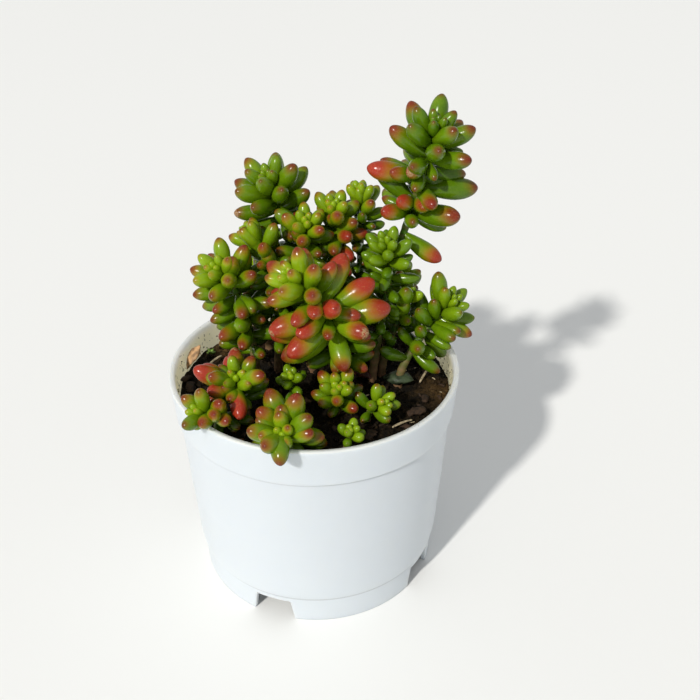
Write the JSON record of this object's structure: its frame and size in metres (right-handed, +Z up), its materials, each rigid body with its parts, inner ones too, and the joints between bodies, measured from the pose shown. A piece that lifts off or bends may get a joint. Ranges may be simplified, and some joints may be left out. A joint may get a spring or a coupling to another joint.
{
  "type": "potted jelly bean plant",
  "caption": "Leafy stems of plump, bean-shaped leaves in rosettes, standing in soil in a thin plastic nursery pot with a notched foot ring.",
  "frame": {"origin": "on the surface that the pot stands on, under the middle of the whole plant's outline seen from above", "axes": "+Z up along the pot's axis, -Y towards the side the picture shows, +X to that side's right"},
  "size_m": [0.0946, 0.0962, 0.1545],
  "materials": {
    "pot_plastic": "white moulded plastic, slightly glossy",
    "soil": "dark crumbly potting soil, matt",
    "leaf": "waxy yellow-green leaf, red at the tip, glossy"
  },
  "bodies": {
    "root": {"pot": "pot_plastic", "soil": "soil", "stem_centre": "leaf", "stem_tall": "leaf", "stem_front": "leaf", "stem_front_left": "leaf", "stem_right": "leaf", "stem_left": "leaf", "stem_bright": "leaf", "stem_upper_left": "leaf", "sprout_middle": "leaf", "sprout_front": "leaf", "stem_front_right": "leaf", "stem_front_middle": "leaf", "stem_rim_left": "leaf", "stem_top_left": "leaf", "stem_top_middle": "leaf", "stem_shoulder": "leaf", "stem_top_right": "leaf", "stem_shaded": "leaf", "stem_back_left": "leaf", "stem_back": "leaf", "stem_back_right": "leaf", "stem_far_left": "leaf", "stem_between": "leaf"}
  },
  "joints": []
}
